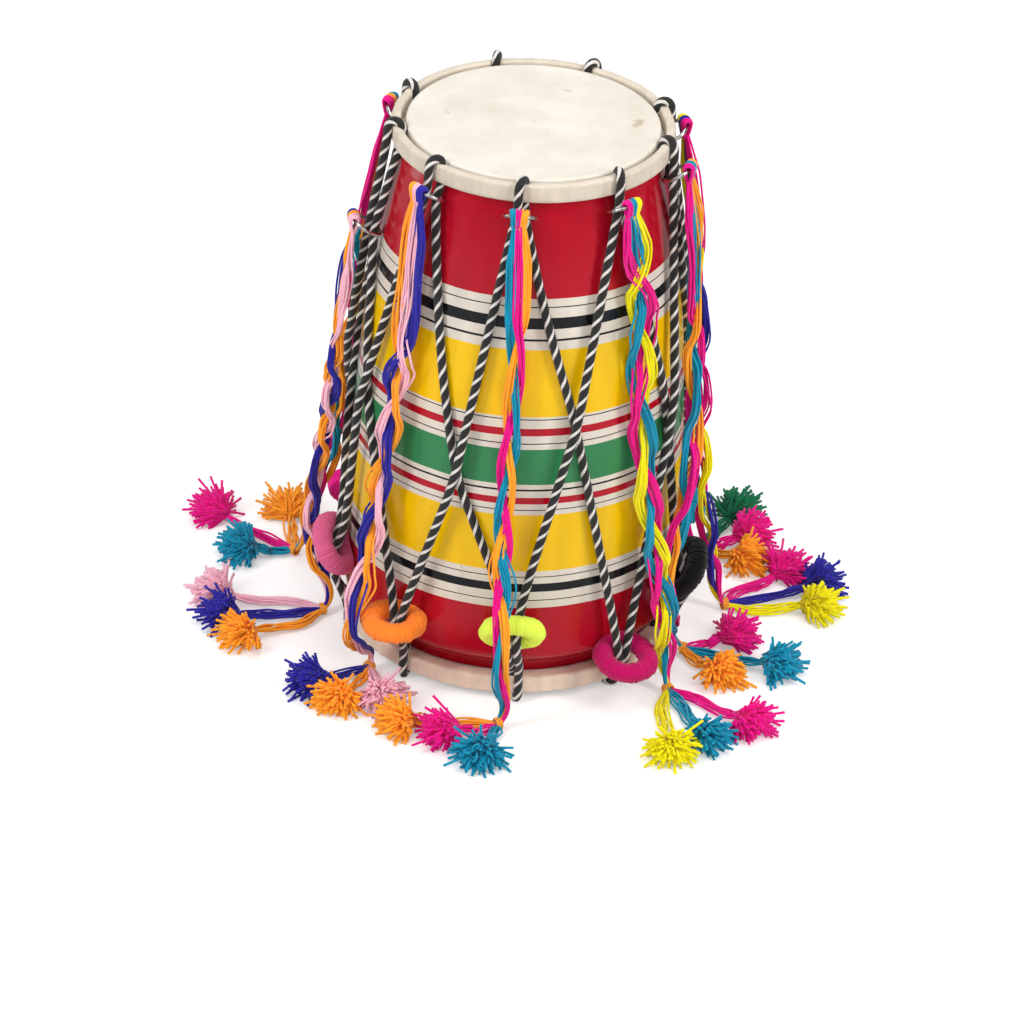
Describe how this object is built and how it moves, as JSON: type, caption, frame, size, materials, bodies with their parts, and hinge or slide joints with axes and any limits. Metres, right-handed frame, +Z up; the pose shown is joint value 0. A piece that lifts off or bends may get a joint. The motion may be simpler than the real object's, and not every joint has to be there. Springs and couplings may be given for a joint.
{
  "type": "dhol",
  "caption": "Barrel drum laced with one rope between skin heads, with sliding yarn tuning rings, small steel rings and braided yarn tassels.",
  "frame": {"origin": "centre of the drum's foot on the floor", "axes": "+Z up the drum's axis, -Y the front with the yellow tuning ring, +X to the right seen from the front"},
  "size_m": [0.49, 0.442, 0.4145],
  "materials": {
    "painted_wood": "glossy painted bands",
    "goatskin": "matt dried skin",
    "hoop_wood": "plain split cane",
    "rope_cotton": "braided cotton, black with a white strand",
    "steel_wire": "plain round wire",
    "tassel_yarn": "acrylic yarn in several colours",
    "pompom_yarn": "cut acrylic yarn in several colours",
    "pink_yarn": "wound yarn",
    "orange_yarn": "wound yarn",
    "neon_yellow_yarn": "wound yarn",
    "magenta_yarn": "wound yarn",
    "black_yarn": "wound yarn",
    "teal_yarn": "wound yarn",
    "blue_yarn": "wound yarn"
  },
  "bodies": {
    "drum": {"barrel_shell": "painted_wood", "top_head": "goatskin", "top_hoop": "hoop_wood", "bottom_head": "goatskin", "bottom_hoop": "hoop_wood", "tension_rope": "rope_cotton", "rope_bottom_bights": "rope_cotton", "tassel_ties": "orange_yarn", "braid_1": "tassel_yarn", "braid_2": "tassel_yarn", "braid_3": "tassel_yarn", "braid_4": "tassel_yarn", "braid_5": "tassel_yarn", "braid_6": "tassel_yarn", "braid_7": "tassel_yarn", "braid_8": "tassel_yarn", "braid_9": "tassel_yarn", "pompoms_1": "pompom_yarn", "pompoms_2": "pompom_yarn", "pompoms_3": "pompom_yarn", "pompoms_4": "pompom_yarn", "pompoms_5": "pompom_yarn", "pompoms_6": "pompom_yarn", "pompoms_7": "pompom_yarn", "pompoms_8": "pompom_yarn", "pompoms_9": "pompom_yarn"},
    "steel_eye_1": {"steel_ring_1": "steel_wire", "tassel_knot_1": "tassel_yarn"},
    "tuning_loop_1": {"tuning_ring_1": "neon_yellow_yarn"},
    "steel_eye_2": {"steel_ring_2": "steel_wire", "tassel_knot_2": "tassel_yarn"},
    "tuning_loop_2": {"tuning_ring_2": "magenta_yarn"},
    "steel_eye_3": {"steel_ring_3": "steel_wire", "tassel_knot_3": "tassel_yarn"},
    "tuning_loop_3": {"tuning_ring_3": "black_yarn"},
    "steel_eye_4": {"steel_ring_4": "steel_wire", "tassel_knot_4": "tassel_yarn"},
    "tuning_loop_4": {"tuning_ring_4": "teal_yarn"},
    "steel_eye_5": {"steel_ring_5": "steel_wire", "tassel_knot_5": "tassel_yarn"},
    "tuning_loop_5": {"tuning_ring_5": "orange_yarn"},
    "steel_eye_6": {"steel_ring_6": "steel_wire", "tassel_knot_6": "tassel_yarn"},
    "tuning_loop_6": {"tuning_ring_6": "blue_yarn"},
    "steel_eye_7": {"steel_ring_7": "steel_wire", "tassel_knot_7": "tassel_yarn"},
    "tuning_loop_7": {"tuning_ring_7": "magenta_yarn"},
    "steel_eye_8": {"steel_ring_8": "steel_wire", "tassel_knot_8": "tassel_yarn"},
    "tuning_loop_8": {"tuning_ring_8": "pink_yarn"},
    "steel_eye_9": {"steel_ring_9": "steel_wire", "tassel_knot_9": "tassel_yarn"},
    "tuning_loop_9": {"tuning_ring_9": "orange_yarn"}
  },
  "joints": [
    {"name": "steel_ring_slide_1", "type": "slide", "parent": "drum", "child": "steel_eye_1", "axis": [-0.0179, -0.3195, -0.9474], "range_m": [0, 0.008], "deforming": ["tension_rope", "braid_1"]},
    {"name": "tuning_ring_slide_1", "type": "slide", "parent": "drum", "child": "tuning_loop_1", "axis": [0, 0, 1], "range_m": [-0.012, 0.03], "deforming": ["tension_rope", "braid_1"]},
    {"name": "steel_ring_slide_2", "type": "slide", "parent": "drum", "child": "steel_eye_2", "axis": [0.1975, -0.2518, -0.9474], "range_m": [0, 0.008], "deforming": ["tension_rope", "braid_2"]},
    {"name": "tuning_ring_slide_2", "type": "slide", "parent": "drum", "child": "tuning_loop_2", "axis": [0, 0, 1], "range_m": [-0.012, 0.03], "deforming": ["tension_rope", "braid_2"]},
    {"name": "steel_ring_slide_3", "type": "slide", "parent": "drum", "child": "steel_eye_3", "axis": [0.3094, -0.0817, -0.9474], "range_m": [0, 0.008], "deforming": ["tension_rope", "braid_3"]},
    {"name": "tuning_ring_slide_3", "type": "slide", "parent": "drum", "child": "tuning_loop_3", "axis": [0, 0, 1], "range_m": [-0.012, 0.03], "deforming": ["tension_rope", "braid_3"]},
    {"name": "steel_ring_slide_4", "type": "slide", "parent": "drum", "child": "steel_eye_4", "axis": [0.2995, 0.1126, -0.9474], "range_m": [0, 0.008], "deforming": ["tension_rope", "braid_4"]},
    {"name": "tuning_ring_slide_4", "type": "slide", "parent": "drum", "child": "tuning_loop_4", "axis": [0, 0, 1], "range_m": [-0.012, 0.03], "deforming": ["tension_rope", "braid_4"]},
    {"name": "steel_ring_slide_5", "type": "slide", "parent": "drum", "child": "steel_eye_5", "axis": [0.1302, 0.2923, -0.9474], "range_m": [0, 0.008], "deforming": ["tension_rope", "braid_5"]},
    {"name": "tuning_ring_slide_5", "type": "slide", "parent": "drum", "child": "tuning_loop_5", "axis": [0, 0, 1], "range_m": [-0.012, 0.03], "deforming": ["tension_rope", "braid_5"]},
    {"name": "steel_ring_slide_6", "type": "slide", "parent": "drum", "child": "steel_eye_6", "axis": [-0.0936, 0.306, -0.9474], "range_m": [0, 0.008], "deforming": ["tension_rope", "braid_6"]},
    {"name": "tuning_ring_slide_6", "type": "slide", "parent": "drum", "child": "tuning_loop_6", "axis": [0, 0, 1], "range_m": [-0.012, 0.03], "deforming": ["tension_rope", "braid_6"]},
    {"name": "steel_ring_slide_7", "type": "slide", "parent": "drum", "child": "steel_eye_7", "axis": [-0.2876, 0.1403, -0.9474], "range_m": [0, 0.008], "deforming": ["tension_rope", "braid_7"]},
    {"name": "tuning_ring_slide_7", "type": "slide", "parent": "drum", "child": "tuning_loop_7", "axis": [0, 0, 1], "range_m": [-0.012, 0.03], "deforming": ["tension_rope", "braid_7"]},
    {"name": "steel_ring_slide_8", "type": "slide", "parent": "drum", "child": "steel_eye_8", "axis": [-0.3144, -0.0594, -0.9474], "range_m": [0, 0.008], "deforming": ["tension_rope", "braid_8"]},
    {"name": "tuning_ring_slide_8", "type": "slide", "parent": "drum", "child": "tuning_loop_8", "axis": [0, 0, 1], "range_m": [-0.012, 0.03], "deforming": ["tension_rope", "braid_8", "braid_7"]},
    {"name": "steel_ring_slide_9", "type": "slide", "parent": "drum", "child": "steel_eye_9", "axis": [-0.2145, -0.2374, -0.9474], "range_m": [0, 0.008], "deforming": ["tension_rope", "braid_9"]},
    {"name": "tuning_ring_slide_9", "type": "slide", "parent": "drum", "child": "tuning_loop_9", "axis": [0, 0, 1], "range_m": [-0.012, 0.03], "deforming": ["tension_rope", "braid_9"]}
  ]
}
